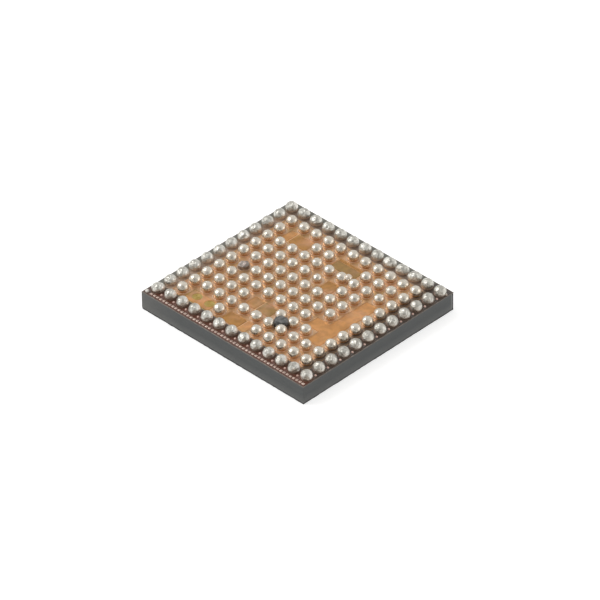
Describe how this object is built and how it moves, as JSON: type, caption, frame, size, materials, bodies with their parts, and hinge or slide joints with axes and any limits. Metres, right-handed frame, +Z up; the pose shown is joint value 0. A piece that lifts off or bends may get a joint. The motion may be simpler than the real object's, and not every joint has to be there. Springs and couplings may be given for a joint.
{
  "type": "intermediate frequency chip",
  "caption": "Bare wafer-level radio chip lying on its back, with a grid of solder balls on copper pads, a copper plane with bare islands and a row of small pads along one edge.",
  "frame": {"origin": "centre of the flat back of the chip, which lies on the surface", "axes": "+Z up through the balls, +X along the longer side from row A to row N, +Y along the shorter side from column 1 to column 12"},
  "size_m": [0.0052, 0.005, 0.0007],
  "materials": {
    "back_film": "matte",
    "silicon": "satin",
    "circuit": "satin",
    "ring_metal": "satin",
    "polyimide": "satin",
    "copper": "satin",
    "gold_copper": "satin",
    "olive_copper": "satin",
    "coil_metal": "satin",
    "pad_copper": "satin",
    "solder": "satin",
    "dull_solder": "matte",
    "resin": "matte",
    "edge_metal": "satin"
  },
  "bodies": {
    "root": {"back_film": "back_film", "silicon_die": "silicon", "circuit_layer": "circuit", "seal_ring": "ring_metal", "base_polyimide": "polyimide", "copper_plane": "copper", "island_c10_left": "copper", "island_c10_right": "gold_copper", "island_g10": "olive_copper", "island_g10_band": "copper", "island_h8": "gold_copper", "island_l4_strip": "copper", "island_f4_left": "gold_copper", "island_f4_right": "olive_copper", "island_c2": "copper", "island_f2_left": "gold_copper", "island_f2_right": "copper", "coil_c2": "coil_metal", "coil_d2": "coil_metal", "damaged_ball_c6": "dull_solder", "resin_lump": "resin", "edge_pads": "edge_metal", "edge_dots_front": "edge_metal", "edge_dots_right": "edge_metal", "corner_bump": "edge_metal", "pads_row_a": "pad_copper", "solder_row_a": "solder", "pads_row_b": "pad_copper", "solder_row_b": "solder", "pads_row_c": "pad_copper", "solder_row_c": "solder", "pads_row_d": "pad_copper", "solder_row_d": "solder", "pads_row_e": "pad_copper", "solder_row_e": "solder", "pads_row_f": "pad_copper", "solder_row_f": "solder", "pads_row_g": "pad_copper", "solder_row_g": "solder", "pads_row_h": "pad_copper", "solder_row_h": "solder", "pads_row_j": "pad_copper", "solder_row_j": "solder", "pads_row_k": "pad_copper", "solder_row_k": "solder", "pads_row_l": "pad_copper", "solder_row_l": "solder", "pads_row_m": "pad_copper", "solder_row_m": "solder", "pads_row_n": "pad_copper", "solder_row_n": "solder"}
  },
  "joints": []
}
